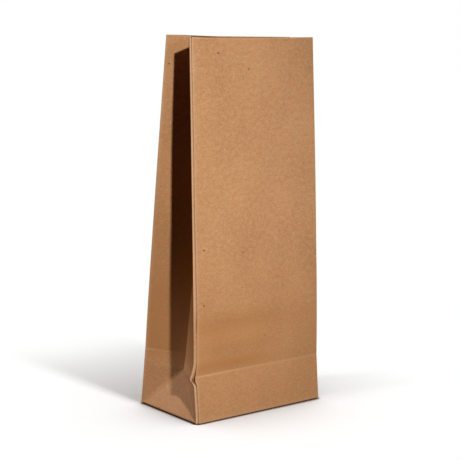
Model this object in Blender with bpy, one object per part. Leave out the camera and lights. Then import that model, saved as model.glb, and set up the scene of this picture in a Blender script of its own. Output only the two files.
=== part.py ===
"""Block-bottom gift bag of brown kraft paper.

One sheet is folded into a tube with a gusset in each side and glued along a lap at the
front left corner. Its lower end is folded in and glued flat as the base. The bag stands
open. Its gussets draw the mouth together, so both panels lean inwards.

X is the width, Y the depth with the front panel at -Y, and Z is up. The origin is the
centre of the base, on the surface that the bag stands on. Every length is in metres.
"""

import math

import bmesh
import bpy

# The bag's outside.
base_width = 0.110
base_depth = 0.060
bag_height = 0.2495
paper_thickness = 0.0002

# How far each panel's top edge has come in over the base, and how far the front panel
# is bowed out between its corners at the mouth.
front_lean_in = 0.0198
back_lean_in = 0.0169
front_mouth_bow = 0.005

# The creases left by folding the bag flat. The panels are dented there, and the dent
# runs out above the crease.
front_crease_height = 0.031
front_crease_dent = 0.0012
back_crease_height = 0.039
back_crease_dent = 0.0006
dent_run_out = 0.060

# The glued lap. The front panel's cut edge stands back from the corner fold, and the
# lap reaches further in behind it. The panel's cut top is lower at the lap.
lap_setback = 0.0026
lap_reach = 0.012
lap_top_drop = 0.0008

# The spur where the lap has lifted at the crease.
spur_reach = 0.0022
spur_run_up = 0.012
spur_run_down = 0.006

# The base: two long flaps cross its middle, the front one lowest.
flap_overlap = 0.008

# A fold in paper this thick is rounded, which one narrow flat stands for.
fold_flat = 2.5 * paper_thickness

# Faces along each panel, and heights of the rings between the creases and the mouth.
panel_faces = 10
wall_rings = 14

half_width = base_width / 2
half_depth = base_depth / 2


def blend(start, end, share):
    return start + (end - start) * share


def dent(height, crease, depth):
    """How far a panel is pushed in at this height by its crease."""
    if height < crease:
        return depth * height / crease
    left = max(0.0, 1 - (height - crease) / dent_run_out)
    return depth * left * left


def front_y(height):
    lean = front_lean_in * height / bag_height
    return -half_depth + lean + dent(height, front_crease_height, front_crease_dent)


def back_y(height):
    lean = back_lean_in * height / bag_height
    return half_depth - lean - dent(height, back_crease_height, back_crease_dent)


def half_gap(height):
    return (back_y(height) - front_y(height)) / 2


def middle_y(height):
    return (back_y(height) + front_y(height)) / 2


def gusset_depth(height):
    """Each half of a gusset keeps its width, so it folds in as the panels come together."""
    return math.sqrt(half_depth**2 - half_gap(height) ** 2)


def apex():
    """Height of the corner where the 45 degree folds of a side meet its middle fold."""
    height = half_depth
    for _ in range(60):
        height = half_gap(height)
    return height


def bow(height):
    return front_mouth_bow * (height / bag_height) ** 2


def spur(height):
    """Share of the spur's reach at this height."""
    above = (height - front_crease_height) / spur_run_up
    below = (front_crease_height - height) / spur_run_down
    return max(0.0, 1 - max(above, below))


def cut_back(corner, towards, other):
    """The point on one side of a fold where its rounding starts."""
    a = (towards[0] - corner[0], towards[1] - corner[1])
    b = (other[0] - corner[0], other[1] - corner[1])
    length_a = math.hypot(*a)
    cosine = (a[0] * b[0] + a[1] * b[1]) / (length_a * math.hypot(*b))
    half_angle = math.acos(max(-1.0, min(1.0, cosine))) / 2
    share = fold_flat / 2 / math.sin(half_angle) / length_a
    return (corner[0] + a[0] * share, corner[1] + a[1] * share)


def side_folds(height, top_of_triangle):
    """Front and back points of one side's folds, as distances in from the panels' edges.

    Above the triangle they are the two edges of the middle fold. On it they follow the
    two 45 degree folds, which part towards the corners of the base.
    """
    if height >= top_of_triangle:
        middle = middle_y(height)
        depth = gusset_depth(height)
        return (depth, middle - fold_flat / 2), (depth, middle + fold_flat / 2)
    share = (height + fold_flat) / (top_of_triangle + fold_flat)
    tip = gusset_depth(top_of_triangle) * height / top_of_triangle
    middle = middle_y(top_of_triangle)
    front = blend(-half_depth + paper_thickness + fold_flat, middle - fold_flat / 2, share)
    back = blend(half_depth - fold_flat, middle + fold_flat / 2, share)
    return (tip, front), (tip, back)


def section(height, step_in, top_of_triangle):
    """The outer face at this height, counterclockwise from the front left corner.

    step_in is how far in from that corner the front face steps out by one thickness, as
    the panel lies over the lap. Each point is x, y and the wall that it belongs to.
    """
    front = front_y(height)
    back = back_y(height)
    out = bow(height)
    corner_x = half_width - 4 * out * out / (3 * base_width)
    (front_in, front_fold), (back_in, back_fold) = side_folds(height, top_of_triangle)
    lifted = spur_reach * spur(height)

    front_left = (-corner_x - lifted, front + paper_thickness)
    front_right = (corner_x, front)
    back_right = (corner_x, back)
    back_left = (-corner_x, back)
    left_folds = (-corner_x + back_in, back_fold), (-corner_x + front_in, front_fold)
    right_folds = (corner_x - front_in, front_fold), (corner_x - back_in, back_fold)

    def front_point(x, y):
        return (x, y - out * (1 - (x / half_width) ** 2), "front")

    points = []
    start = cut_back(front_left, front_right, left_folds[1])
    step = -corner_x + step_in - lifted / 2
    points.append((*start, "front"))
    points.append(front_point((start[0] + step) / 2, front_left[1]))
    points.append(front_point(step, front_left[1]))
    end = cut_back(front_right, front_left, right_folds[0])
    for i in range(panel_faces):
        points.append(front_point(blend(step, end[0], i / panel_faces), front))
    points.append((*end, "front"))

    start = cut_back(front_right, right_folds[0], front_left)
    end = cut_back(back_right, right_folds[1], back_left)
    points.append((*start, "side"))
    points.append((*right_folds[0], "side"))
    points.append((*right_folds[1], "side"))
    points.append((*end, "side"))

    start = cut_back(back_right, back_left, right_folds[1])
    end = cut_back(back_left, back_right, left_folds[0])
    for i in range(panel_faces + 1):
        points.append((blend(start[0], end[0], i / panel_faces), back, "back"))

    start = cut_back(back_left, left_folds[0], back_right)
    end = cut_back(front_left, left_folds[1], front_right)
    points.append((*start, "side"))
    points.append((*left_folds[0], "side"))
    points.append((*left_folds[1], "side"))
    points.append((*end, "side"))
    return points


def moved_in(points, distance):
    """The same closed outline, moved in square to its sides."""
    moved = []
    count = len(points)
    for i, (x, y, wall) in enumerate(points):
        before = points[i - 1]
        after = points[(i + 1) % count]
        first = (x - before[0], y - before[1])
        second = (after[0] - x, after[1] - y)
        first_length = math.hypot(*first)
        second_length = math.hypot(*second)
        first_normal = (-first[1] / first_length, first[0] / first_length)
        second_normal = (-second[1] / second_length, second[0] / second_length)
        scale = 1 + first_normal[0] * second_normal[0] + first_normal[1] * second_normal[1]
        x += distance * (first_normal[0] + second_normal[0]) / scale
        y += distance * (first_normal[1] + second_normal[1]) / scale
        moved.append((x, y, wall))
    return moved


def ring_heights(top_of_triangle):
    """Heights of the rings above the base, with one at each place where a fold bends."""
    heights = [
        6 * paper_thickness,
        top_of_triangle / 2,
        front_crease_height - spur_run_down,
        top_of_triangle,
        front_crease_height,
        back_crease_height,
        front_crease_height + spur_run_up,
    ]
    start = max(heights)
    for i in range(1, wall_rings + 1):
        heights.append(blend(start, bag_height, i / wall_rings))
    return sorted(set(heights))


def top_height(point, wall_from):
    """The cut rim's height here: the front panel's own edge falls towards the lap."""
    x, _, wall = point
    if wall != "front" or x < wall_from - paper_thickness / 2:
        return bag_height
    return bag_height - lap_top_drop * (half_width - x) / base_width


def joined(shape, lower, upper):
    count = len(lower)
    for i in range(count):
        j = (i + 1) % count
        shape.faces.new((lower[i], lower[j], upper[j], upper[i]))


def skin(shape, heights, step_in, inset, bottom_height, top_of_triangle):
    """One face of the paper from the base to the mouth, as rings of vertices."""
    rings = []
    for height in heights:
        points = section(height, step_in, top_of_triangle)
        step_x = points[3][0]
        if inset:
            points = moved_in(points, inset)
        ring = []
        for number, point in enumerate(points):
            level = height
            if height == bag_height:
                level = top_height(point, step_x if number > 2 else half_width)
            elif height == heights[0]:
                level = bottom_height[point[2]]
            ring.append(shape.verts.new((point[0], point[1], level)))
        rings.append(ring)
    for lower, upper in zip(rings, rings[1:]):
        joined(shape, lower, upper)
    return rings


def base_underside(shape, ring, walls):
    """The folded base from below: two long flaps over the ears of the two gussets."""
    front = [v for v, wall in zip(ring, walls) if wall == "front"]
    back = [v for v, wall in zip(ring, walls) if wall == "back"]
    sides = [v for v, wall in zip(ring, walls) if wall == "side"]
    right = sides[: len(sides) // 2]
    left = sides[len(sides) // 2 :]
    cross = {}
    tip = {}
    for hand in (-1, 1):
        x = hand * (half_width - half_depth)
        cross[hand] = [shape.verts.new((x, 0, k * paper_thickness)) for k in range(3)]
        x = hand * (half_width - half_depth - flap_overlap)
        tip[hand] = [shape.verts.new((x, flap_overlap, k * paper_thickness)) for k in range(2)]
    new = shape.faces.new
    new((*front, cross[1][0], tip[1][0], tip[-1][0], cross[-1][0]))
    new((*back, cross[-1][1], tip[-1][1], tip[1][1], cross[1][1]))
    new((tip[-1][0], tip[1][0], tip[1][1], tip[-1][1]))
    for hand, ear, near, far in (
        (-1, left, front[0], back[-1]),
        (1, right, front[-1], back[0]),
    ):
        towards_front = ear[-1] if hand < 0 else ear[0]
        towards_back = ear[0] if hand < 0 else ear[-1]
        new((*ear, cross[hand][2]))
        new((near, cross[hand][0], cross[hand][1], cross[hand][2], towards_front))
        new((far, cross[hand][1], cross[hand][2], towards_back))
        new((cross[hand][0], tip[hand][0], tip[hand][1], cross[hand][1]))


def folded_bag():
    """The whole sheet as one closed solid: outer face, inner face, cut rim and base."""
    shape = bmesh.new()
    top_of_triangle = apex()
    heights = ring_heights(top_of_triangle)
    walls = [wall for _, _, wall in section(0, lap_setback, top_of_triangle)]

    base_level = {"front": 0.0, "back": paper_thickness, "side": 2 * paper_thickness}
    outer = skin(shape, [0, *heights], lap_setback, 0, base_level, top_of_triangle)

    floor_height = 3 * paper_thickness
    floor_level = dict.fromkeys(base_level, floor_height)
    inner = skin(
        shape,
        [floor_height, *heights],
        lap_reach,
        paper_thickness,
        floor_level,
        top_of_triangle,
    )

    joined(shape, outer[-1], inner[-1])
    shape.faces.new(inner[0])
    base_underside(shape, outer[0], walls)

    bmesh.ops.recalc_face_normals(shape, faces=shape.faces)
    mesh = bpy.data.meshes.new("paper_bag")
    shape.to_mesh(mesh)
    shape.free()
    return mesh


def kraft_paper():
    material = bpy.data.materials.new("kraft_paper")
    material.use_nodes = True
    shader = material.node_tree.nodes["Principled BSDF"]
    shader.inputs["Base Color"].default_value = (0.47, 0.25, 0.12, 1.0)
    shader.inputs["Roughness"].default_value = 0.85
    shader.inputs["Metallic"].default_value = 0.0
    return material


def main():
    for old in list(bpy.data.objects):
        bpy.data.objects.remove(old)
    bag = bpy.data.objects.new("paper_bag", folded_bag())
    bag.data.materials.append(kraft_paper())
    bpy.context.scene.collection.objects.link(bag)


main()
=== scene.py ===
import math

import bmesh
import bpy
import numpy
from mathutils import Matrix, Vector


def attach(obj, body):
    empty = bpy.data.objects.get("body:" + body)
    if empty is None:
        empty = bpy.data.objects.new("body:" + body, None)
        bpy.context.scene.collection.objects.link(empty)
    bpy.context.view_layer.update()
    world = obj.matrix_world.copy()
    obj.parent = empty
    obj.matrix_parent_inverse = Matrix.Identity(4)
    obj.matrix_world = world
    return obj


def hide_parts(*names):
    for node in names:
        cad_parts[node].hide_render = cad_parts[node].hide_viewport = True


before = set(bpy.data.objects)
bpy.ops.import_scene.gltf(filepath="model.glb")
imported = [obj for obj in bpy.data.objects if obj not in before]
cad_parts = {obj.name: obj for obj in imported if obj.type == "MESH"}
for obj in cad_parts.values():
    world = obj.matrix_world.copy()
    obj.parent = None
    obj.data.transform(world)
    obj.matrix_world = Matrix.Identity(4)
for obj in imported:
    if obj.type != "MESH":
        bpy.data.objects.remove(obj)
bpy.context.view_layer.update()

bpy.ops.object.select_all(action="DESELECT")
print("frame loaded:", ", ".join(sorted(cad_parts)))


# The bag is one sheet of paper. Its folded place is worked out row by row, from the
# middle of the base up to the rim, and column by column round the girth.
bag = {
    "width": 0.110,             # base, corner to corner
    "depth": 0.060,
    "height": 0.2495,
    "paper": 0.0002,            # thickness of the sheet
    "frontLean": 0.0198,        # how far each panel's top has come in
    "backLean": 0.0169,
    "mouthBow": 0.005,          # the front panel's bulge at the mouth
    "frontCrease": 0.031,       # where the bag was folded flat
    "frontDent": 0.0012,
    "backCrease": 0.039,
    "backDent": 0.0006,
    "dentRunOut": 0.060,
    "apexHeight": 0.0285,       # point of the triangle at each side's foot
    "apexInset": 0.0008,        # its two feet stand this far in from the corners
    "lapReach": 0.012,
    "lapStep": 1.15,            # the lap lies this many thicknesses behind the panel's face
    # How far back from the corner fold the panel's cut edge is, by height: it wanders.
    "cutEdgeLine": [(0.0, 0.0026), (0.012, 0.0026), (0.0165, 0.0024), (0.0205, 0.0024),
                    (0.0245, 0.0022), (0.0265, 0.0016), (0.0285, 0.0006), (0.031, 0.0010),
                    (0.0346, 0.0019), (0.0385, 0.0025), (0.046, 0.0026), (0.058, 0.0027),
                    (0.079, 0.0031), (0.110, 0.0028), (0.142, 0.0026), (0.182, 0.0030),
                    (0.2495, 0.0030)],
    # How far the corner fold at the lap is drawn in, by height.
    "cornerDraw": [(0.0, 0.0), (0.004, 0.0003), (0.012, 0.0003), (0.022, 0.0), (0.060, 0.0),
                   (0.079, 0.0001), (0.110, 0.0004), (0.142, 0.0005), (0.207, 0.0006),
                   (0.235, 0.0005), (0.2495, 0.0003)],
    "rightBulge": 0.00035,      # the front right corner stands out a little halfway up
    "rightBulgeAt": (0.155, 0.060),     # its middle and its reach
    # How far the rims of the two panels dip, by x.
    "frontTop": [(-0.055, 0.0006), (-0.047, 0.0007), (-0.030, 0.0010), (-0.012, 0.0008),
                 (0.020, 0.0005), (0.030, 0.0001), (0.055, 0.0)],
    "backTop": [(-0.055, 0.0), (-0.043, 0.0001), (-0.026, 0.0005), (-0.010, 0.0008),
                (0.020, 0.0008), (0.055, 0.0008)],
    "gussetTop": 0.0010,        # how far the rim dips at the middle folds of the gussets
    "lapTop": 0.0012,           # and of the lap behind the panel, past the second value
    "lapTopPast": 0.0006,
    "rimReach": 0.020,          # the dips begin this far below the rim
    "spurHeight": 0.0293,       # the lap stands off the panel here, as a small spur
    "spurReach": 0.0021,
    "spurBack": 0.0014,
    "spurUp": 0.0125,           # how far up and down it runs out
    "spurDown": 0.0056,
    "gape": 0.0005,             # the cut edge stands off the lap beside the spur
    "gapeReach": 0.0045,        # up and down, and along the panel
    "gapeAcross": 0.0022,
    "flapOverlap": 0.008,       # past the middle of the base
    "earInset": 0.995,          # the ears under the base are this share of the gussets' width
    "lapFold": 0.00030,         # radius of the fold at the lap
    "outerFold": 0.00020,       # of the others that point out
    "innerFold": 0.00018,       # of those that point in
    "slackFold": 0.012,         # and of the one behind each triangle, which is hardly creased
    "baseFold": 0.0008,
    "foldGap": 0.0003,          # between the two halves of a gusset at its middle fold
    "foldShare": 0.45,          # no fold's arc takes more of a wall than this
    # Dents and waves. The front crease pulls the panel in, by its reach above and below.
    "creasePull": 0.00050,
    "creaseReach": (0.0045, 0.0030),
    "creaseLeast": 0.35,        # share of the pull at the right, and how much more at the left
    "creaseMore": 0.65,
    "creaseStep": (0.045, -0.060),
    "dents": [(0.0505, 0.0055, -0.00042), (0.0610, 0.0055, 0.00048),
              (0.0725, 0.0075, -0.00030)],      # height, reach, depth
    "dentsAcross": (-0.018, 0.034),     # their middle and reach along the panel
    # Each wave is one sine across and up times one straight up: its depth, then the first's
    # factors for x and for the height and its start, then the second's factor and start.
    "frontWave": (0.00030, 61, 17, 1.3, 29, 0.4),
    "backWave": (0.00035, 47, 21, 0.6, 23, 2.0),
    "backPull": (0.00035, 0.004),       # the back crease's, with its reach
    "waveFoot": 0.06,           # the waves of the panels grow up to this height
    "calmEdge": 0.003,          # and stop this near a corner
    "gussetWave": 0.00025,      # of the gussets, with the back and front halves' turns and starts
    "backTurn": (52, 1.1),
    "frontTurn": (43, 2.3),
    "gussetFoot": 0.07,
    "gussetFlat": 0.8,          # share of the triangle's height where a gusset's dents begin
    "gussetCrease": 0.00075,    # the back halves' crease, with its reach above and below
    "gussetCreaseReach": (0.011, 0.008),
    "frontPull": (0.00022, 0.004, 0.002),       # the front halves': depth, rise and reach
    "mouthCurve": 0.0019,       # the back halves curve in by this much towards the mouth
    "mouthCurveStep": (0.125, 0.055),
}

halfWidth = bag["width"] / 2
halfDepth = bag["depth"] / 2
paper = bag["paper"]

# Walls round the girth from the lap's end to the panel's cut edge, with their faces,
# and between each two of them a fold, with its faces and whether it points out.
walls = [
    ("lap", 14), ("frontHalf", 13), ("triangle", 8), ("backHalf", 13), ("back", 34),
    ("backHalf", 13), ("triangle", 8), ("frontHalf", 13), ("front", 60),
]
folds = [(6, True), (4, False), (4, False), (6, True), (6, True), (4, False), (4, False), (6, True)]
cornerFolds = (0, 3, 4, 7)
fewFaces = 10                   # a wall with fewer keeps them all the same width
lapCrowding = 1.9               # how much finer the lap is where it shows
foldCrowding = 0.156            # and every other wall towards its folds

# Rows of points: distances under the base, heights at the foot, then how far apart they are
# by their distance from the nearest crease, and below and above it all. Last, the rim's.
rowSteps = {
    "base": [0.038, 0.031, 0.023, 0.015, 0.008, 0.004, 0.002],
    "baseArc": 4,               # rows round the fold at the base
    "foot": [0.0022, 0.004, 0.006],
    "first": 0.009,
    "atCrease": (0.0025, 0.0006),
    "nearCrease": (0.008, 0.0011),
    "low": (0.085, 0.0018),
    "high": 0.0036,
    "clear": 0.004,             # none of these comes nearer the rim
    "rim": [0.0025, 0.0012, 0.0008, 0.0004, 0],
}


def clamp(value, low=0.0, high=1.0):
    return max(low, min(high, value))


def bell(distance, reach):
    return math.exp(-((distance / reach) ** 2))


# A soft band: its middle and its reach.
def bandAt(value, band):
    return bell(value - band[0], band[1])


# A soft step: where it starts, and over how much it goes up to 1. For a step down, that is
# negative.
def stepAt(value, step):
    start, over = step
    return clamp((value - start) / over)


def alongTable(table, x):
    for (a, first), (b, second) in zip(table, table[1:]):
        if x <= b:
            return first + (second - first) * clamp((x - a) / (b - a))
    return table[-1][1]


def dentAt(height, crease, depth):
    if height < crease:
        return depth * height / crease
    left = max(0.0, 1 - (height - crease) / bag["dentRunOut"])
    return depth * left * left


def frontAt(height):
    lean = bag["frontLean"] * height / bag["height"]
    return -halfDepth + lean + dentAt(height, bag["frontCrease"], bag["frontDent"])


def backAt(height):
    lean = bag["backLean"] * height / bag["height"]
    return halfDepth - lean - dentAt(height, bag["backCrease"], bag["backDent"])


def gussetDepthAt(height):
    gap = (backAt(height) - frontAt(height)) / 2
    return math.sqrt(halfDepth ** 2 - gap ** 2)       # each half keeps its width


def bowAt(height):
    return bag["mouthBow"] * (height / bag["height"]) ** 2


# How far each front corner comes in because the panel between them is bowed.
def bowPullAt(height):
    bow = bowAt(height)
    return 4 * bow * bow / (3 * bag["width"])


def spurAt(height):
    above = (height - bag["spurHeight"]) / bag["spurUp"]
    below = (bag["spurHeight"] - height) / bag["spurDown"]
    share = max(0.0, 1 - max(above, below))
    return share * share * (1.6 - 0.6 * share)      # runs out softly, and is 1 at its tip


def cutXAt(height):
    return -halfWidth + bowPullAt(height) + alongTable(bag["cutEdgeLine"], height)


# The ten corners of the girth at one height: the lap's end, the eight folds, the cut edge.
def cornersAt(height):
    front, back = frontAt(height), backAt(height)
    middle = (front + back) / 2
    side = halfWidth - bowPullAt(height)
    lifted = bag["spurReach"] * spurAt(height)
    drawn = alongTable(bag["cornerDraw"], height)
    gap = bag["foldGap"] / 2
    if height >= bag["apexHeight"]:
        deep, near, far = gussetDepthAt(height), middle - gap, middle + gap
    else:
        apex = bag["apexHeight"]
        share = height / apex
        centre = (frontAt(apex) + backAt(apex)) / 2
        deep = gussetDepthAt(apex) * share
        inset = bag["apexInset"]
        near = (-halfDepth + inset) * (1 - share) + (centre - gap) * share
        far = (halfDepth - inset) * (1 - share) + (centre + gap) * share
    under = front + paper * bag["lapStep"]
    return [
        (-side + bag["lapReach"], under),
        (-side - lifted + drawn, under + bag["spurBack"] * spurAt(height)),
        (-side + deep, near),
        (-side + deep, far),
        (-side, back),
        (side, back),
        (side - deep, far),
        (side - deep, near),
        (side + bag["rightBulge"] * bandAt(height, bag["rightBulgeAt"]), front),
        (cutXAt(height), front),
    ]


# Faces are narrower towards the folds, so the flats stay flat up to them.
def spacing(share, faces):
    if faces < fewFaces:
        return share
    if faces == walls[0][1]:
        return 1 - (1 - share) ** lapCrowding
    return share - foldCrowding * math.sin(2 * math.pi * share) / (2 * math.pi)


# Points of the outer face at one height, with a round arc at each fold.
def outlineAt(height):
    corners = [Vector(corner) for corner in cornersAt(height)]
    lengths = [(b - a).length for a, b in zip(corners, corners[1:])]
    starts, ends, arcs = [corners[0]], [], []
    for i in range(1, len(corners) - 1):
        faces, pointsOut = folds[i - 1]
        point = corners[i]
        toBefore = (corners[i - 1] - point).normalized()
        toAfter = (corners[i + 1] - point).normalized()
        half = math.acos(clamp(toBefore.dot(toAfter), -1, 1)) / 2
        radius = bag["outerFold"] if pointsOut else bag["innerFold"]
        if i == 1:
            radius = bag["lapFold"]
        elif i in (3, 6) and height < bag["apexHeight"]:
            radius = bag["slackFold"]
        most = bag["foldShare"]
        back = min(radius / math.tan(half), most * lengths[i - 1], most * lengths[i])
        radius = back * math.tan(half)
        centre = point + (toBefore + toAfter).normalized() * (radius / math.sin(half))
        first, last = point + toBefore * back, point + toAfter * back
        turn = math.pi - 2 * half
        arc = []
        for k in range(1, faces):
            one = math.sin((1 - k / faces) * turn) / math.sin(turn)
            two = math.sin(k / faces * turn) / math.sin(turn)
            arc.append(centre + (first - centre) * one + (last - centre) * two)
        arcs.append(arc)
        ends.append(first)
        starts.append(last)
    ends.append(corners[-1])
    points = []
    for i, (name, faces) in enumerate(walls):
        for k in range(faces + 1):
            points.append(starts[i].lerp(ends[i], spacing(k / faces, faces)))
        if i < len(arcs):
            points.extend(arcs[i])
    return points


# One entry for each column: the wall's name, its number, the share along it, and the fold's
# number, which is None on a wall.
def columnPlan():
    plan = []
    for i, (name, faces) in enumerate(walls):
        for k in range(faces + 1):
            plan.append((name, i, spacing(k / faces, faces), None))
        if i < len(folds):
            for k in range(1, folds[i][0]):
                plan.append(("fold", i, k / folds[i][0], i))
    return plan


# Distances of the rows under the base, and heights of the others: fine at the creases,
# the triangle's point and the rim.
def rowPlan():
    heights = {bag["baseFold"] + 2 * paper, *rowSteps["foot"]}
    creases = (bag["frontCrease"], bag["backCrease"], bag["spurHeight"])
    level = rowSteps["first"]
    while level < bag["height"] - rowSteps["clear"]:
        heights.add(round(level, 5))
        near = min(abs(level - crease) for crease in creases)
        for reach, step in (rowSteps["atCrease"], rowSteps["nearCrease"]):
            if near < reach:
                level += step
                break
        else:
            lowTo, lowStep = rowSteps["low"]
            level += lowStep if level < lowTo else rowSteps["high"]
    heights.update(bag["height"] - drop for drop in rowSteps["rim"])
    return rowSteps["base"], sorted(heights)


# A slow wave over a panel.
def waveAt(wave, x, height):
    deep, across, slant, start, up, upStart = wave
    swell = math.sin(x * across + height * slant + start) * math.sin(height * up + upStart)
    return deep * swell * clamp(height / bag["waveFoot"])


# Small dents of the front panel, pushed in along Y.
def frontRelief(x, height):
    leftward = stepAt(x, bag["creaseStep"])
    over = height - bag["frontCrease"]
    above, below = bag["creaseReach"]
    pull = bag["creasePull"] * math.exp(-abs(over) / (above if over > 0 else below))
    relief = pull * (bag["creaseLeast"] + bag["creaseMore"] * leftward)
    window = bandAt(x, bag["dentsAcross"])
    for level, reach, deep in bag["dents"]:
        relief += deep * window * bell(height - level, reach)
    return relief + waveAt(bag["frontWave"], x, height)


def backRelief(x, height):
    deep, reach = bag["backPull"]
    relief = deep * math.exp(-abs(height - bag["backCrease"]) / reach)
    return relief + waveAt(bag["backWave"], x, height)


# How far a half gusset stands off its flat, away from the bag's inside.
def gussetRelief(name, share, height, hand):
    middle = math.sin(math.pi * clamp(share))
    flat = clamp(share * 7) * clamp((1 - share) * 7)        # 0 at its folds only
    if name == "backHalf":
        over = height - bag["backCrease"]
        above, below = bag["gussetCreaseReach"]
        turn, start = bag["backTurn"]
        pull = bag["gussetCrease"] * flat
        crease = pull * math.exp(-abs(over) / (above if over > 0 else below))
        wave = bag["gussetWave"] * math.sin(height * turn + start + hand)
        wave -= bag["mouthCurve"] * stepAt(height, bag["mouthCurveStep"])
    else:
        deep, rise, reach = bag["frontPull"]
        turn, start = bag["frontTurn"]
        crease = deep * middle * math.exp(-abs(height - bag["frontCrease"] - rise) / reach)
        wave = bag["gussetWave"] * math.sin(height * turn + start - hand)
    return middle * wave * clamp(height / bag["gussetFoot"]) - crease


# How far a gusset's rim dips: nothing or little at the corners, most at its middle fold.
def gussetTopAt(name, wall, share, fold):
    if name not in ("frontHalf", "backHalf"):
        return 0.0 if fold in cornerFolds or name == "lap" else bag["gussetTop"]
    inner = share if wall in (1, 5) else 1 - share
    outer = bag["backTop"][-1][1] if wall == 5 else 0.0
    return inner * bag["gussetTop"] + (1 - inner) * outer


# The outward normal at each point of a row.
def normalsOf(row):
    last = len(row) - 1
    normals = []
    for i in range(last + 1):
        along = row[min(i + 1, last)] - row[max(i - 1, 0)]
        across = Vector((-along.y, along.x, 0))
        normals.append(across.normalized() if along.length else Vector((0, -1, 0)))
    return normals


# The points of one row of the walls.
def placedRow(height, plan):
    flat = outlineAt(height)
    cutX = flat[-1].x
    nearRim = clamp((height - bag["height"] + bag["rimReach"]) / bag["rimReach"])
    gussetFrom = bag["gussetFlat"]
    points = []
    for (x, y), normal, (name, wall, share, fold) in zip(flat, normalsOf(flat), plan):
        z = height
        inside = clamp((halfWidth - abs(x)) / bag["calmEdge"])
        if name in ("front", "lap") or fold in (0, 7):
            y -= bowAt(height) * max(0.0, 1 - (x / halfWidth) ** 2)
            y += frontRelief(x, height) * inside
        elif name == "back" or fold in (3, 4):
            y -= backRelief(x, height) * inside
        elif name in ("backHalf", "frontHalf") and height > bag["apexHeight"] * gussetFrom:
            away = gussetRelief(name, share, height, math.copysign(1, x))
            away *= clamp(height / bag["apexHeight"] - gussetFrom)
            x += normal.x * away
            y += normal.y * away
        if name == "front":
            # The cut edge stands off the lap beside the spur, and the rim dips.
            gape = bag["gape"] * bell(height - bag["spurHeight"], bag["gapeReach"])
            y -= gape * math.exp(-abs(x - cutX) / bag["gapeAcross"])
            z -= nearRim * alongTable(bag["frontTop"], x)
        elif name == "lap" and x > cutX - bag["lapTopPast"]:
            z -= nearRim * bag["lapTop"]
        elif name == "back":
            z -= nearRim * alongTable(bag["backTop"], x)
        elif fold == 4:
            z -= nearRim * bag["backTop"][-1][1]
        else:
            z -= nearRim * gussetTopAt(name, wall, share, fold)
        points.append(Vector((x, y, z)))
    return points


# The base's layers: the front flap is lowest, then the back one, then the gussets' ears.
def baseLevel(column):
    name, fold = column[0], column[3]
    if name == "front" or fold == 7:
        return 0.0
    return paper if name == "back" else 2 * paper


# The way in from a column, at the fold round the base.
def inwardOf(column, x):
    name, _, share, fold = column
    if name in ("front", "lap") or (fold == 7 and share > 0.5):
        return Vector((0, 1, 0))
    if name == "back":
        return Vector((0, -1, 0))
    return Vector((math.copysign(1, -x), 0, 0))


# Every point of the folded sheet, row by row: under the base, round its fold, up the walls.
def layOutSheet(plan):
    under, heights = rowPlan()
    radius = bag["baseFold"]
    arc = rowSteps["baseArc"]
    lowest = placedRow(heights[0], plan)
    levels = [baseLevel(column) for column in plan]
    flapTip = halfWidth - halfDepth - bag["flapOverlap"]
    underRows, arcRows = [], []
    for reach in under:
        narrowed = 1 - (halfWidth - flapTip) / halfWidth * reach / under[0]
        row = []
        for p, level, column in zip(lowest, levels, plan):
            if column[0] in ("front", "back"):
                hand = -1 if column[0] == "front" else 1
                row.append(Vector((p.x * narrowed, hand * (halfDepth - reach), level)))
            else:
                x = math.copysign(halfWidth - reach, p.x)
                row.append(Vector((x, p.y * bag["earInset"], level)))
        underRows.append(row)
    for k in range(arc, 0, -1):
        angle = k / arc * math.pi / 2
        row = []
        for p, level, column in zip(lowest, levels, plan):
            moved = p + inwardOf(column, p.x) * radius * (1 - math.cos(angle))
            moved.z = level + radius * (1 - math.sin(angle))
            row.append(moved)
        arcRows.append(row)
    wallRows = [placedRow(height, plan) for height in heights]
    return underRows, arcRows, wallRows, under, heights


# How far each point of a row lies along the sheet, from the lap's end.
def girthOf(row):
    along = [0.0]
    for a, b in zip(row, row[1:]):
        along.append(along[-1] + math.hypot(b.x - a.x, b.y - a.y))
    return along


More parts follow.
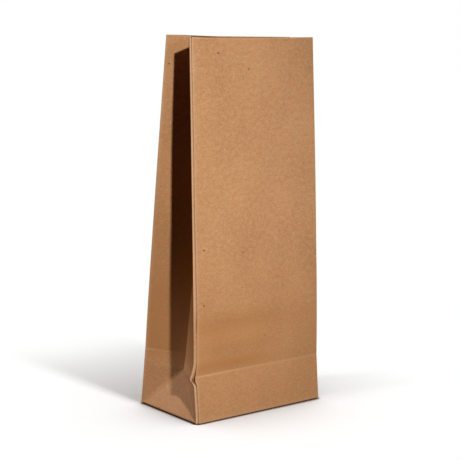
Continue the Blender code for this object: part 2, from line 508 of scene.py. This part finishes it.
# How worn the paper is, and where light and shade are painted into its colour. Each amount is a
# share of the colours in kraft, from 0 to 1 or more.
wearAndPaintedLight = {
    # The pale lines at folds, cut edges and the rim are partly wear and partly painted highlight.
    "line": 0.0009,             # reach of the pale line beside a fold
    "fold": 0.95,               # folds that point out
    "rightFold": 0.3,           # the front right one is hardly rubbed
    "cutEdge": 0.5,             # the front panel's cut edge
    "cutEdgeHigh": 0.3,         # and how much more it is higher up
    "panelEdge": 0.8,
    "gussetEdge": 0.5,
    # Painted light: the front halves of the gussets are painted paler low down, where they are in
    # shade.
    "gussetFoot": (0.034, 0.14),        # the front halves are pale up to this height
    "triangle": 0.16,
    "under": 0.8,               # the fold round the base
    "lapCalm": 0.75,            # the lap is less rubbed here
    "lapCalmAt": (0.054, 0.019),
    "foot": (0.7, 0.0010),      # the foot of the walls, with its reach
    "rim": 0.0008,              # reach of the pale line at the rim
    "rimStart": 1.35,
    "rimLeast": 0.35,           # share of it at the right, and how much more near the lap
    "rimMore": 0.65,
    "rimStep": (-0.040, -0.012),
    # The pale lines along the creases, here and below, are painted highlight.
    "frontLine": (-0.0002, 0.0005),     # the front crease's, from the crease, with its reach
    "frontLineLeast": 0.28,
    "frontLineMore": 0.34,      # more at the left
    "frontLineStep": (0.0, -0.04),
    "backLine": 0.0006,         # reach of the back crease's, and its amount on the back panel
    "backLineAmount": 0.5,
    "backRimStep": (0.0, 0.002),        # the back panel isn't pale at its rim
    "backRim": 0.5,
    "halfLineLeast": 0.12,
    "halfLineMore": 0.80,       # more near the corner, with this reach
    "halfLineReach": 0.005,
    # Painted shade: how much darker the gussets and the back panel are, by height.
    "gussetSoftShade": [(0.0, 0.30), (0.034, 0.45), (0.039, 1.40), (0.065, 1.40),
                      (0.107, 0.75), (0.145, 0.50), (0.190, 0.25), (0.2495, 0.05)],
    "frontHalfShare": 0.5,      # the front halves of the gussets take this share of it
    # Painted shade on the front panel: its lower half, and the bands where its dents are shaded.
    "frontLowShade": 0.55,       # and the lower half of the front panel
    "frontLowShadeStep": (0.12, -0.06),
    "bands": [(0.0610, 0.0085, 0.80), (0.0465, 0.0055, 0.45)],      # height, reach, amount
    # Painted shade just above the front crease.
    "creaseBand": (0.0362, 0.0045, 1.15),
    # The bands are strongest at the left: their step, and the share at the right and how much
    # more at the left, for the one at the crease and then for all.
    "bandStep": (0.030, -0.040),
    "creaseBandShares": (0.45, 0.55),
    "bandShares": (0.25, 0.75),
    # The painted shadow of the seam: how deep it is at the top, how much more lower down, where it
    # is deepest and where it nearly closes. Then how wide it is.
    "paintedGapShadow": 0.50,
    "seamLow": 0.22,
    "seamLowStep": (0.20, -0.06),
    "seamOpen": 0.28,
    "seamOpenAt": (0.066, 0.008),
    "seamClosed": 0.38,
    "seamClosedAt": (0.047, 0.010),
    "seamWidth": 0.00055,
    "seamWider": 0.00040,
    "seamWiderAt": (0.066, 0.007),
    "seamPast": 0.0001,         # its middle is this far past the cut edge
    "seamEnd": 0.0008,          # nothing is dark past this, under the panel
    "slot": (-0.0006, 0.0019),  # the slot behind the spur, from the spur, with its reach
    "slotStep": (-0.0019, 0.0006),
    # Painted shade inside the top of the bag: its height, amounts and steps.
    "insideTop": 0.006,         # inside, this much of the top has darkened a little
    "insideRight": 0.28,        # its amount at the right, and how much more at the left
    "insideLeft": 0.67,
    "insideStep": (-0.005, -0.020),
    "insideCorner": (-0.054, 0.004),    # and nothing at the left corner
}


# Where the paper is pale: folds that point out, creases and the rim, partly rubbed and partly
# painted highlight, and low on the gussets' front halves painted light in their shade. A row under
# the base has no height.
def rubbedAndPaintedLightAt(column, height, x):
    name, wall, share, fold = column
    footTo, footAmount = wearAndPaintedLight["gussetFoot"]
    amount = 0.0
    if fold in cornerFolds:
        amount = wearAndPaintedLight["rightFold"] if fold == 7 else wearAndPaintedLight["fold"]
    elif name == "front":
        edge = wearAndPaintedLight["cutEdge"] + wearAndPaintedLight["cutEdgeHigh"] * clamp((height or 0) / 0.04 - 5)
        amount = edge * math.exp((share - 1) * bag["width"] / wearAndPaintedLight["line"])
    elif name in ("back", "lap"):
        width = bag["lapReach"] if name == "lap" else bag["width"]
        amount = wearAndPaintedLight["panelEdge"] * math.exp(-min(share, 1 - share) * width / wearAndPaintedLight["line"])
    elif name in ("frontHalf", "backHalf"):
        outer = share if wall in (5, 7) or (wall == 1 and name != "frontHalf") else 1 - share
        pale = footAmount if name == "frontHalf" and height and height < footTo else 0.0
        amount = max(wearAndPaintedLight["gussetEdge"] * math.exp(-outer * halfDepth / wearAndPaintedLight["line"]), pale)
    elif name == "triangle":
        amount = wearAndPaintedLight["triangle"]
    if height is None:
        return max(amount, wearAndPaintedLight["under"])
    if name == "lap" or fold == 0:
        amount *= 1 - wearAndPaintedLight["lapCalm"] * bandAt(height, wearAndPaintedLight["lapCalmAt"])
    amount = max(amount, wearAndPaintedLight["foot"][0] * math.exp(-height / wearAndPaintedLight["foot"][1]))
    toRim = bag["height"] - height
    if name == "front":
        wornAndPainted = wearAndPaintedLight["rimLeast"] + wearAndPaintedLight["rimMore"] * stepAt(x, wearAndPaintedLight["rimStep"])
        amount = max(amount, clamp(wearAndPaintedLight["rimStart"] - toRim / wearAndPaintedLight["rim"]) * wornAndPainted)
        shift, reach = wearAndPaintedLight["frontLine"]
        line = bell(height - bag["frontCrease"] - shift, reach)
        more = wearAndPaintedLight["frontLineMore"] * stepAt(x, wearAndPaintedLight["frontLineStep"])
        amount = max(amount, line * (wearAndPaintedLight["frontLineLeast"] + more))
    elif name == "back":
        line = wearAndPaintedLight["backLineAmount"] * bell(height - bag["backCrease"], wearAndPaintedLight["backLine"])
        amount = max(amount, line) * stepAt(toRim, wearAndPaintedLight["backRimStep"])
    elif name == "backHalf":
        outer = (1 - share if wall == 3 else share) * halfDepth
        line = bell(height - bag["backCrease"], wearAndPaintedLight["backLine"])
        more = wearAndPaintedLight["halfLineMore"] * math.exp(-outer / wearAndPaintedLight["halfLineReach"])
        rim = wearAndPaintedLight["backRim"] * clamp(1 - toRim / wearAndPaintedLight["rim"])
        amount = max(amount, line * (wearAndPaintedLight["halfLineLeast"] + more), rim)
    return amount


# Painted soft shade: the gussets and the back panel darker by height, and on the front panel its
# lower half and bands where its dents and crease are shaded.
def paintedSoftShadeAt(column, height, x):
    name = column[0]
    if height is None or name not in ("front", "backHalf", "frontHalf", "back", "triangle"):
        return 0.0
    if name in ("frontHalf", "triangle") and height < wearAndPaintedLight["gussetFoot"][0]:
        return 0.0
    if name != "front":
        most = alongTable(wearAndPaintedLight["gussetSoftShade"], height)
        return most * (wearAndPaintedLight["frontHalfShare"] if name == "frontHalf" else 1)
    window = stepAt(x, wearAndPaintedLight["bandStep"])
    band = sum(amount * bell(height - level, reach) for level, reach, amount in wearAndPaintedLight["bands"])
    level, reach, amount = wearAndPaintedLight["creaseBand"]
    least, more = wearAndPaintedLight["creaseBandShares"]
    band += amount * bell(height - level, reach) * (least + more * window)
    least, more = wearAndPaintedLight["bandShares"]
    low = stepAt(height, wearAndPaintedLight["frontLowShadeStep"])
    return wearAndPaintedLight["frontLowShade"] * low + band * (least + more * window)


# Painted shadow: the dark line where the lap goes under the panel's cut edge, and the dark slot
# behind the spur.
def paintedGapShadowAt(column, height, x):
    if height is None or column[0] != "lap":
        return 0.0
    fromCut = x - cutXAt(height)
    if fromCut > wearAndPaintedLight["seamEnd"]:
        return 0.0
    deep = wearAndPaintedLight["paintedGapShadow"] + wearAndPaintedLight["seamLow"] * stepAt(height, wearAndPaintedLight["seamLowStep"])
    opened = wearAndPaintedLight["seamOpen"] * bandAt(height, wearAndPaintedLight["seamOpenAt"])
    deep += opened - wearAndPaintedLight["seamClosed"] * bandAt(height, wearAndPaintedLight["seamClosedAt"])
    width = wearAndPaintedLight["seamWidth"] + wearAndPaintedLight["seamWider"] * bandAt(height, wearAndPaintedLight["seamWiderAt"])
    line = deep * bell(fromCut - wearAndPaintedLight["seamPast"], width)
    shift, reach = wearAndPaintedLight["slot"]
    slot = bell(height - bag["spurHeight"] - shift, reach)
    return max(line, slot * stepAt(fromCut, wearAndPaintedLight["slotStep"]))


# Whether the front panel's faces point into the bag, so all have to be flipped.
def frontFacesIn(piece):
    for face in piece.data.polygons:
        if abs(face.center.x) < 0.01 and face.center.y < 0 and 0.1 < face.center.z < 0.12:
            return face.normal.y > 0
    return False


def makeBagSheet(materials):
    plan = columnPlan()
    underRows, arcRows, wallRows, under, heights = layOutSheet(plan)
    rows = underRows + arcRows + wallRows
    firstWall = len(underRows) + len(arcRows)
    columns = len(plan)
    bpy.ops.mesh.primitive_grid_add(x_subdivisions=columns - 1, y_subdivisions=len(rows) - 1,
                                    size=1, location=(0, 0, 0))
    piece = bpy.context.object
    piece.name = piece.data.name = "bag_sheet"
    mesh = piece.data
    if len(mesh.vertices) != columns * len(rows):
        raise ValueError(f"the grid has {len(mesh.vertices)} points, not {columns} x {len(rows)}")

    # The flat grid is folded. Its UV map stays the flat sheet, in metres.
    along = [girthOf(row) for row in wallRows]
    along = [along[0]] * firstWall + along
    arcStep = bag["baseFold"] / len(arcRows)
    up = [-reach for reach in under] + [arcStep * k for k in range(len(arcRows))]
    up += [height + arcStep * (len(arcRows) - 1) for height in heights]
    wornAndPainted = {name: numpy.zeros(len(mesh.vertices), numpy.float32)
            for name in ("rubbedAndPaintedLight", "paintedSoftShade", "paintedGapShadow")}
    place = [None] * len(mesh.vertices)
    for vertex in mesh.vertices:
        i = round((vertex.co.x + 0.5) * (columns - 1))
        j = round((vertex.co.y + 0.5) * (len(rows) - 1))
        height = heights[j - firstWall] if j >= firstWall else None
        point = rows[j][i]
        place[vertex.index] = (i, j)
        if j >= len(underRows):
            wornAndPainted["rubbedAndPaintedLight"][vertex.index] = rubbedAndPaintedLightAt(plan[i], height, point.x)
        wornAndPainted["paintedSoftShade"][vertex.index] = paintedSoftShadeAt(plan[i], height, point.x)
        wornAndPainted["paintedGapShadow"][vertex.index] = paintedGapShadowAt(plan[i], height, point.x)
        vertex.co = point
    layer = mesh.uv_layers.active or mesh.uv_layers.new(name="sheet")
    layer.name = "sheet"
    for loop in mesh.loops:
        i, j = place[loop.vertex_index]
        layer.data[loop.index].uv = (along[j][i], up[j])
    for name, values in wornAndPainted.items():
        mesh.attributes.new(name, "FLOAT", "POINT").data.foreach_set("value", values)
    print("bag sheet: folded,", columns, "columns by", len(rows), "rows")

    # Under the base only the flaps and the ears go on. The lap and corners stop at the fold.
    shape = bmesh.new()
    shape.from_mesh(mesh)
    trimmed = []
    for face in shape.faces:
        places = [place[vertex.index] for vertex in face.verts]
        if min(j for i, j in places) < len(underRows):
            columnsHere = [plan[i] for i, j in places]
            if any(column[0] == "lap" or column[3] in cornerFolds for column in columnsHere):
                trimmed.append(face)
    bmesh.ops.delete(shape, geom=trimmed, context="FACES")
    shape.to_mesh(mesh)
    shape.free()

    for material in materials:
        mesh.materials.append(material)
    if frontFacesIn(piece):
        bpy.ops.object.mode_set(mode="EDIT")
        bpy.ops.mesh.select_all(action="SELECT")
        bpy.ops.mesh.flip_normals()
        bpy.ops.object.mode_set(mode="OBJECT")
    outerPoints = len(mesh.vertices)
    thicken = piece.modifiers.new("paper", "SOLIDIFY")
    thicken.thickness = paper
    thicken.offset = -1
    thicken.use_rim = True
    thicken.material_offset_rim = 1
    bpy.ops.object.modifier_apply(modifier=thicken.name)
    bpy.ops.object.shade_smooth_by_angle(angle=math.radians(50))

    # Painted shade inside: the tops of the back panel and of the gussets are painted a little
    # darker, where the front panel shades them.
    paintedGapShadow = mesh.attributes["paintedGapShadow"].data
    behindFront = frontAt(bag["height"]) + 0.0004
    for vertex in mesh.vertices[outerPoints:]:
        if vertex.co.y > behindFront and vertex.co.z > bag["height"] - wearAndPaintedLight["insideTop"]:
            x = vertex.co.x
            dark = wearAndPaintedLight["insideRight"] + wearAndPaintedLight["insideLeft"] * stepAt(x, wearAndPaintedLight["insideStep"])
            paintedGapShadow[vertex.index].value = dark * stepAt(x, wearAndPaintedLight["insideCorner"])
    piece.select_set(False)
    return piece


kraft = {
    "colour": (0.604, 0.320, 0.138),
    "warm": (0.672, 0.285, 0.128),
    "paleFibre": (0.84, 0.51, 0.28),
    "darkFibre": (0.36, 0.150, 0.055),
    "fleck": (0.145, 0.053, 0.019),
    "fleckSquat": 1.45,         # how many times wider than high a fleck is
    # The colours of rubbed paper with painted highlight, of painted soft shade, of the painted gap
    # shadow, and of the cut edge.
    "rubbedAndPaintedLight": (0.90, 0.60, 0.38),
    "paintedSoftShade": (0.47, 0.186, 0.047),
    "paintedGapShadow": (0.17, 0.055, 0.012),
    "cutEdge": (0.62, 0.40, 0.23),
    "roughness": 0.86,
    "bump": 0.00004,
    # The painted places take these shares as well as the worn ones.
    "paintedSoftShadeShare": 0.50,       # how much of these colours the worn places take
    "rubbedAndPaintedLightShare": 0.75,
    "paintedGapShadowShare": 0.90,
    # The pulp's layers, each laid over those before it. Its noise: cells to the millimetre,
    # shift, turn, detail, roughness, distortion. Then the noise where it starts and where it
    # is full, the most that it takes, and its colour.
    "layers": {
        "patches": ((0.13, 0.10), (6.0, 1.0), 0.0, 2, 0.5, 0.0, 0.35, 0.65, 0.42, "warm"),
        "clouds": ((0.035, 0.025), (3.1, 7.7), 0.0, 3, 0.55, 0.0, 0.3, 0.7, 0.36, "darkFibre"),
        "floc": ((0.30, 0.36), (11.0, 4.0), 0.0, 3, 0.6, 0.0, 0.40, 0.75, 0.34, "paleFibre"),
        "grain": ((1.5, 1.2), (1.7, 9.2), 0.0, 3, 0.65, 0.0, 0.46, 0.72, 0.74, "darkFibre"),
        "fibreUp": ((3.4, 0.55), (5.0, 2.0), 0.25, 2, 0.55, 0.4, 0.54, 0.76, 0.62, "paleFibre"),
        "fibreAcross": ((0.6, 3.2), (8.0, 6.0), -0.3, 2, 0.55, 0.4, 0.56, 0.78, 0.54, "darkFibre"),
    },
    "relief": {"fibreUp": 0.7, "fibreAcross": 0.6, "floc": 0.9},
    # Three sizes of bark fleck: cells to the millimetre, turn, share of the cells without
    # one, radius, strength.
    "flecks": [(0.080, 0.5, 0.46, 0.055, 0.92), (0.15, -0.7, 0.70, 0.057, 0.88),
               (0.33, 1.2, 0.66, 0.068, 0.65)],
}


def newMaterial(name):
    material = bpy.data.materials.new(name)
    material.use_nodes = True
    return material, material.node_tree, material.node_tree.nodes["Principled BSDF"]


# Adds a node: each input is a number, a vector or another node's socket.
def addNode(tree, kind, inputs, **settings):
    node = tree.nodes.new(kind)
    node.location = (-200 * len(tree.nodes), 0)
    for key, value in settings.items():
        setattr(node, key, value)
    for key, value in inputs.items():
        if isinstance(value, bpy.types.NodeSocket):
            tree.links.new(value, node.inputs[key])
        else:
            node.inputs[key].default_value = value
    return node


def mapped(tree, vector, scale, shift=(0, 0, 0), turn=0.0):
    inputs = {"Vector": vector, "Scale": scale, "Location": shift, "Rotation": (0, 0, turn)}
    return addNode(tree, "ShaderNodeMapping", inputs).outputs["Vector"]


def noiseOn(tree, vector, detail, roughness, distortion=0.0):
    inputs = {"Vector": vector, "Scale": 1.0, "Detail": detail, "Roughness": roughness,
              "Distortion": distortion}
    return addNode(tree, "ShaderNodeTexNoise", inputs).outputs["Fac"]


def stretched(tree, value, low, high, toLow=0.0, toHigh=1.0):
    inputs = {"Value": value, "From Min": low, "From Max": high,
              "To Min": toLow, "To Max": toHigh}
    return addNode(tree, "ShaderNodeMapRange", inputs).outputs["Result"]


def multiplied(tree, first, second):
    return addNode(tree, "ShaderNodeMath", {0: first, 1: second}, operation="MULTIPLY").outputs[0]


def added(tree, first, second):
    return addNode(tree, "ShaderNodeMath", {0: first, 1: second}, operation="ADD").outputs[0]


def mixedOver(tree, share, under, over):
    inputs = {0: share, 6: under, 7: over}
    for key in (6, 7):
        if isinstance(inputs[key], tuple):
            inputs[key] = (*inputs[key], 1.0)
    return addNode(tree, "ShaderNodeMix", inputs, data_type="RGBA").outputs[2]


def attributeOf(tree, name):
    return addNode(tree, "ShaderNodeAttribute", {}, attribute_name=name).outputs["Fac"]


def kraftPaper():
    material, tree, shader = newMaterial("kraft_paper")
    flat = addNode(tree, "ShaderNodeUVMap", {}, uv_map="sheet").outputs["UV"]
    millimetres = mapped(tree, flat, (1000, 1000, 1))

    # Pulp: patches, broad clouds, mottling the size of a floc, fine fibres up and across.
    noises = {}
    colour = kraft["colour"]
    for name, layer in kraft["layers"].items():
        scale, shift, turn, detail, roughness, distortion, low, high, most, over = layer
        place = mapped(tree, millimetres, (*scale, 1), (*shift, 0), turn)
        noises[name] = noiseOn(tree, place, detail, roughness, distortion)
        share = stretched(tree, noises[name], low, high, 0.0, most)
        colour = mixedOver(tree, share, colour, kraft[over])

    # Bark flecks: here and there one cell of a coarse pattern holds a fleck.
    for size, turn, without, radius, strength in kraft["flecks"]:
        shift = (size * 40, size * 90, 0)
        place = mapped(tree, millimetres, (size, size * kraft["fleckSquat"], 1), shift, turn)
        cells = addNode(tree, "ShaderNodeTexVoronoi",
                        {"Vector": place, "Scale": 1.0, "Randomness": 0.95})
        parts = addNode(tree, "ShaderNodeSeparateColor", {"Color": cells.outputs["Color"]})
        chance = parts.outputs[0]
        shown = stretched(tree, chance, without, without + 0.02)
        near = stretched(tree, cells.outputs["Distance"], radius * 1.5, radius * 0.6)
        share = multiplied(tree, multiplied(tree, shown, near), strength)
        colour = mixedOver(tree, share, colour, kraft["fleck"])

    # Painted soft shade darkens the paper; folds and creases go pale, rubbed and with painted
    # highlight; the painted shadow of the seam is dark.
    floc, grain = noises["floc"], noises["grain"]
    for name, patches in (("paintedSoftShade", stretched(tree, floc, 0.25, 0.75, 0.55, 1.0)),
                          ("rubbedAndPaintedLight", stretched(tree, grain, 0.30, 0.70, 0.40, 1.0)),
                          ("paintedGapShadow", None)):
        amount = attributeOf(tree, name)
        if patches:
            amount = multiplied(tree, amount, patches)
        share = multiplied(tree, amount, kraft[name + "Share"])
        colour = mixedOver(tree, share, colour, kraft[name])
    tree.links.new(colour, shader.inputs["Base Color"])

    matt = kraft["roughness"]
    roughness = stretched(tree, grain, 0.3, 0.7, matt - 0.08, matt + 0.06)
    tree.links.new(roughness, shader.inputs["Roughness"])
    shader.inputs["Specular IOR Level"].default_value = 0.25

    relief = None
    for name, share in kraft["relief"].items():
        part = multiplied(tree, noises[name], share)
        relief = added(tree, relief, part) if relief else part
    bump = addNode(tree, "ShaderNodeBump",
                   {"Height": relief, "Strength": 1.0, "Distance": kraft["bump"]})
    tree.links.new(bump.outputs["Normal"], shader.inputs["Normal"])
    return material


def cutEdge():
    material, tree, shader = newMaterial("kraft_cut_edge")
    place = addNode(tree, "ShaderNodeTexCoord", {}).outputs["Object"]
    pulp = noiseOn(tree, mapped(tree, place, (1800, 1800, 1800)), 3, 0.6)
    share = stretched(tree, pulp, 0.35, 0.7, 0.0, 0.6)
    colour = mixedOver(tree, share, kraft["cutEdge"], kraft["darkFibre"])
    tree.links.new(colour, shader.inputs["Base Color"])
    shader.inputs["Roughness"].default_value = 0.92
    shader.inputs["Specular IOR Level"].default_value = 0.2
    bump = addNode(tree, "ShaderNodeBump",
                   {"Height": pulp, "Strength": 0.8, "Distance": kraft["bump"]})
    tree.links.new(bump.outputs["Normal"], shader.inputs["Normal"])
    return material


sheetPiece = makeBagSheet([kraftPaper(), cutEdge()])
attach(sheetPiece, "root")
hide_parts("paper_bag")
print("bag sheet: done,", len(sheetPiece.data.polygons), "faces")


studio = {
    "floorSize": 6.0,
    "floorWhite": 0.38,         # part of the floor's white that no shadow darkens
    "floorWhiteColour": (0.99, 1.045, 1.06),
    "floorBounce": 0.05,        # how pale the floor is to everything but the camera
    # Painted shade on the floor, from ambient occlusion: a dark contact line under the bag and a
    # faint shade round it.
    "paintedContactShadow": (0.0040, 0.0075),        # reach of the dark line under the bag, left and right
    "paintedContactShadowRange": (0.68, 0.87),       # openness where it is darkest and where it ends
    "paintedContactShadowColour": (0.085, 0.027, 0.011),
    "nearShade": 0.12,          # reach of the faint shade on the floor round the bag
    "nearShadeRange": (0.50, 1.0),
    "nearShadeTakes": 0.50,     # the most light that it takes
    "nearShadeFalls": 1.8,      # how fast it falls off
    "worldFill": 0.025,         # light from all round
    "worldColour": (1.0, 0.38, 0.16),
    # The key, foot and side lights are spots whose beams fade across the bag: the direction
    # that they come from at a point, the middle of the beam, its distance and radius there,
    # and their strength, width and colour.
    "key": {"direction": (-0.2055, -0.8414, 0.500), "point": (-0.055, -0.020, 0.130),
            "aim": (-0.110, -0.025, 0.165), "distance": 4.0, "radius": 0.32,
            "strength": 2.84, "degrees": 3.0, "colour": (1.0, 1.0, 1.0)},
    "foot": {"direction": (-0.62, 0.55, 0.56), "point": (-0.055, 0.0, 0.010),
             "aim": (-0.055, 0.0, 0.005), "distance": 0.8, "radius": 0.080,
             "strength": 1.40, "degrees": 5.0, "colour": (0.745, 0.79, 1.0)},
    "side": {"direction": (-0.62, 0.55, 0.56), "point": (-0.055, 0.0, 0.010),
             "aim": (-0.055, 0.0, 0.050), "distance": 1.2, "radius": 0.200,
             "strength": 0.43, "degrees": 6.0, "colour": (1.0, 0.72, 0.22)},
    "frontDirection": (0.55, -0.80, 0.25),
    "frontStrength": 0.75,
    "frontDegrees": 40,
    "backDirection": (0.40, 0.62, 0.68),
    "backStrength": 1.7,
    "backDegrees": 30,
    # The light box over the floor, as a row of narrow lights: share of the floor's white
    # and elevation, from in front and from the left.
    "boxFront": [(0.03, 53), (0.055, 57), (0.075, 60), (0.06, 63), (0.05, 66), (0.05, 69.5),
                 (0.05, 73), (0.05, 77), (0.055, 82)],
    "boxLeft": [(0.035, 66), (0.04, 70), (0.03, 74), (0.02, 78)],
    "boxFrontAzimuth": 3.0,
    "boxLeftAzimuth": -104.0,
    "boxDegrees": 5,
    "cameraPlace": (-0.5966, -0.6918, 0.2737),
    "cameraYaw": 40.497,        # degrees, from +Y towards +X
    "cameraPitch": 9.596,
    "cameraRoll": 1.851,
    "lens": 107.16,
}


# One shader for what the camera sees and another for all else.
def byCameraRay(tree, seen, other):
    toCamera = addNode(tree, "ShaderNodeLightPath", {}).outputs["Is Camera Ray"]
    inputs = {0: toCamera, 1: other.outputs[0], 2: seen.outputs[0]}
    return addNode(tree, "ShaderNodeMixShader", inputs).outputs[0]


# How open a place on the floor is: 0 close to the bag and 1 away from it.
def openness(tree, reach, low, high):
    near = addNode(tree, "ShaderNodeAmbientOcclusion", {"Distance": reach}, samples=16)
    return stretched(tree, near.outputs["AO"], low, high)


def makeFloor():
    bpy.ops.mesh.primitive_plane_add(size=studio["floorSize"], location=(0, 0, 0))
    floor = bpy.context.object
    floor.name = "floor"
    material, tree, shader = newMaterial("white_floor")
    tree.nodes.remove(shader)
    bounce = [studio["floorBounce"]] * 3 + [1]
    plain = addNode(tree, "ShaderNodeBsdfDiffuse", {"Color": bounce})
    place = addNode(tree, "ShaderNodeTexCoord", {}).outputs["Object"]
    across = addNode(tree, "ShaderNodeSeparateXYZ", {"Vector": place}).outputs["X"]
    # Painted shadow: the floor's colour, and with it its white lift, darken near the bag by ambient
    # occlusion.
    reach = stretched(tree, across, -halfWidth, halfWidth, *studio["paintedContactShadow"])
    paintedContactShadow = openness(tree, reach, *studio["paintedContactShadowRange"])
    away = openness(tree, studio["nearShade"], *studio["nearShadeRange"])
    closeness = stretched(tree, away, 0.0, 1.0, 1.0, 0.0)
    shade = addNode(tree, "ShaderNodeMath", {0: closeness, 1: studio["nearShadeFalls"]},
                    operation="POWER")
    faint = stretched(tree, shade.outputs[0], 0.0, 1.0, 1.0, 1 - studio["nearShadeTakes"])
    white = mixedOver(tree, faint, (0.0, 0.0, 0.0), (1.0, 1.0, 1.0))
    colour = mixedOver(tree, paintedContactShadow, studio["paintedContactShadowColour"], white)
    shaded = addNode(tree, "ShaderNodeBsdfDiffuse", {"Color": colour})
    cool = addNode(tree, "ShaderNodeMix",
                   {0: 1.0, 6: colour, 7: (*studio["floorWhiteColour"], 1.0)},
                   data_type="RGBA", blend_type="MULTIPLY").outputs[2]
    lift = addNode(tree, "ShaderNodeEmission", {"Color": cool, "Strength": studio["floorWhite"]})
    seen = addNode(tree, "ShaderNodeAddShader", {0: shaded.outputs[0], 1: lift.outputs[0]})
    surface = byCameraRay(tree, seen, plain)
    tree.links.new(surface, tree.nodes["Material Output"].inputs["Surface"])
    floor.data.materials.append(material)
    return floor


def makeWorld():
    world = bpy.data.worlds.new("studio")
    bpy.context.scene.world = world
    world.use_nodes = True
    tree = world.node_tree
    tree.nodes.clear()
    fill = addNode(tree, "ShaderNodeBackground",
                   {"Color": (*studio["worldColour"], 1), "Strength": studio["worldFill"]})
    white = addNode(tree, "ShaderNodeBackground", {"Color": (1, 1, 1, 1), "Strength": 1.0})
    addNode(tree, "ShaderNodeOutputWorld", {"Surface": byCameraRay(tree, white, fill)})


# Each light falls only on the bag or only on the floor, by light linking.
def lightOnly(light, onto):
    bpy.context.scene.collection.objects.link(light)
    lit = bpy.data.collections.new(light.name + "_lights")
    lit.objects.link(onto)
    light.light_linking.receiver_collection = lit


def makeSun(name, direction, strength, degrees, onto):
    light = bpy.data.lights.new(name, "SUN")
    light.energy = strength
    light.angle = math.radians(degrees)
    sun = bpy.data.objects.new(name, light)
    sun.rotation_euler = Vector(direction).to_track_quat("Z", "Y").to_euler()
    lightOnly(sun, onto)


def makeSpot(name, onto):
    values = studio[name]
    distance = values["distance"]
    light = bpy.data.lights.new(name, "SPOT")
    light.color = values["colour"]
    light.energy = values["strength"] * 4 * math.pi * distance ** 2
    light.shadow_soft_size = distance * math.tan(math.radians(values["degrees"] / 2))
    light.spot_size = 2 * math.atan(values["radius"] / distance)
    light.spot_blend = 1.0
    spot = bpy.data.objects.new(name, light)
    spot.location = Vector(values["point"]) + Vector(values["direction"]).normalized() * distance
    spot.rotation_euler = (spot.location - Vector(values["aim"])).to_track_quat("Z", "Y").to_euler()
    lightOnly(spot, onto)


def makeLights(floor):
    for name in ("key", "foot", "side"):
        makeSpot(name, sheetPiece)
    for name in ("front", "back"):
        makeSun(name, studio[name + "Direction"], studio[name + "Strength"],
                studio[name + "Degrees"], sheetPiece)
    for side in ("boxFront", "boxLeft"):
        turn = math.radians(studio[side + "Azimuth"])
        for share, elevation in studio[side]:
            rise = math.radians(elevation)
            level = math.cos(rise)
            direction = (math.sin(turn) * level, -math.cos(turn) * level, math.sin(rise))
            strength = share * math.pi / math.sin(rise)
            makeSun(f"{side}_{elevation:g}", direction, strength, studio["boxDegrees"], floor)


def makeCamera():
    data = bpy.data.cameras.new("camera")
    data.sensor_width = 36
    data.lens = studio["lens"]
    data.clip_start = 0.01
    data.clip_end = 50
    camera = bpy.data.objects.new("camera", data)
    yaw = Matrix.Rotation(-math.radians(studio["cameraYaw"]), 4, "Z")
    pitch = Matrix.Rotation(math.radians(90 - studio["cameraPitch"]), 4, "X")
    roll = Matrix.Rotation(math.radians(studio["cameraRoll"]), 4, "Z")
    camera.matrix_world = Matrix.Translation(studio["cameraPlace"]) @ yaw @ pitch @ roll
    bpy.context.scene.collection.objects.link(camera)
    bpy.context.scene.camera = camera


makeLights(makeFloor())
makeWorld()
makeCamera()
bpy.context.scene.view_settings.view_transform = "Standard"
print("studio: floor, lights, world and camera")
